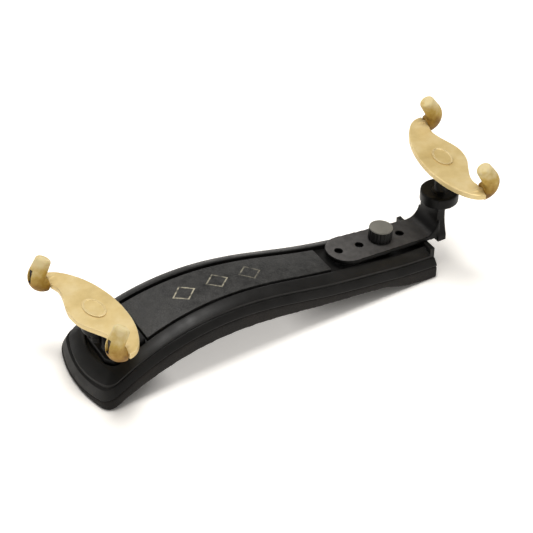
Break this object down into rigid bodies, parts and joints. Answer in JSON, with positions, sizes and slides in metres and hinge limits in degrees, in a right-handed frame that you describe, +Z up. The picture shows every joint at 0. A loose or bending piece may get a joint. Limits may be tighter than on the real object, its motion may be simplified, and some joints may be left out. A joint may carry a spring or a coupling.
{
  "type": "violin shoulder rest",
  "caption": "Arched foam-backed violin shoulder rest with two height-adjustable turning forks, one on a fixed post and one on an adjustable bracket held by a thumb-knob.",
  "frame": {"origin": "bottom centre of the whole rest, standing on its foam", "axes": "+X from the wide end to the narrow end, +Y towards the back, +Z up"},
  "size_m": [0.2463, 0.0776, 0.0773],
  "materials": {
    "moulding": "fine satin texture",
    "foam": "open-cell foam with a smooth skin",
    "panel": "grained",
    "bracket": "satin",
    "steel": "satin",
    "bush": "blackened",
    "stud": "black oxide",
    "knob": "fluted",
    "knob_cap": "matt",
    "fork": "gold satin",
    "sleeve": "translucent amber rubber"
  },
  "bodies": {
    "base": {"base": "moulding", "foam_pad": "foam", "top_panel": "panel", "left_bracket": "bracket", "left_bracket_screw": "steel", "left_bracket_nut": "steel", "left_bushing": "bush", "knob_insert": "bush"},
    "right_arm": {"right_bracket": "bracket", "right_bushing": "bush"},
    "knob_washer": {"knob_washer": "steel"},
    "knob": {"knob": "knob", "knob_cap": "knob_cap", "knob_screw": "stud"},
    "left_stud": {"left_stud": "stud"},
    "right_stud": {"right_stud": "stud"},
    "left_fork": {"left_fork": "fork", "left_fork_emblem": "fork", "left_back_sleeve": "sleeve", "left_front_sleeve": "sleeve"},
    "right_fork": {"right_fork": "fork", "right_fork_emblem": "fork", "right_back_sleeve": "sleeve", "right_front_sleeve": "sleeve"}
  },
  "joints": [
    {"name": "bracket_swivel", "type": "hinge", "parent": "base", "child": "right_arm", "pos_m": [0.0646, 0.0011, 0.0194], "axis": [0.0785, 0, 0.9969], "range_deg": [-12, 12]},
    {"name": "knob_lift", "type": "slide", "parent": "base", "child": "knob_washer", "axis": [0.0785, 0, 0.9969], "range_m": [0, 0.0056]},
    {"name": "knob_turn", "type": "hinge", "parent": "knob_washer", "child": "knob", "pos_m": [0.0646, 0.0011, 0.0194], "axis": [0.0785, 0, 0.9969], "range_deg": [-3, 2883]},
    {"name": "left_fork_height", "type": "slide", "parent": "base", "child": "left_stud", "axis": [0, 0, 1], "range_m": [-0.001, 0.011]},
    {"name": "left_fork_turn", "type": "hinge", "parent": "left_stud", "child": "left_fork", "pos_m": [-0.1025, 0.0011, 0.0402], "axis": [0, 0, 1], "range_deg": [-363, 3963]},
    {"name": "right_fork_height", "type": "slide", "parent": "right_arm", "child": "right_stud", "axis": [0, 0, 1], "range_m": [-0.013, 0.003]},
    {"name": "right_fork_turn", "type": "hinge", "parent": "right_stud", "child": "right_fork", "pos_m": [0.1024, 0.0011, 0.0593], "axis": [0, 0, 1], "range_deg": [-4683, 1083]}
  ],
  "couplings": [
    {"joint": "left_fork_turn", "follows": "left_fork_height", "rad_per_m": 6283.2},
    {"joint": "right_fork_turn", "follows": "right_fork_height", "rad_per_m": 6283.2},
    {"joint": "knob_turn", "follows": "knob_lift", "rad_per_m": 8976}
  ]
}
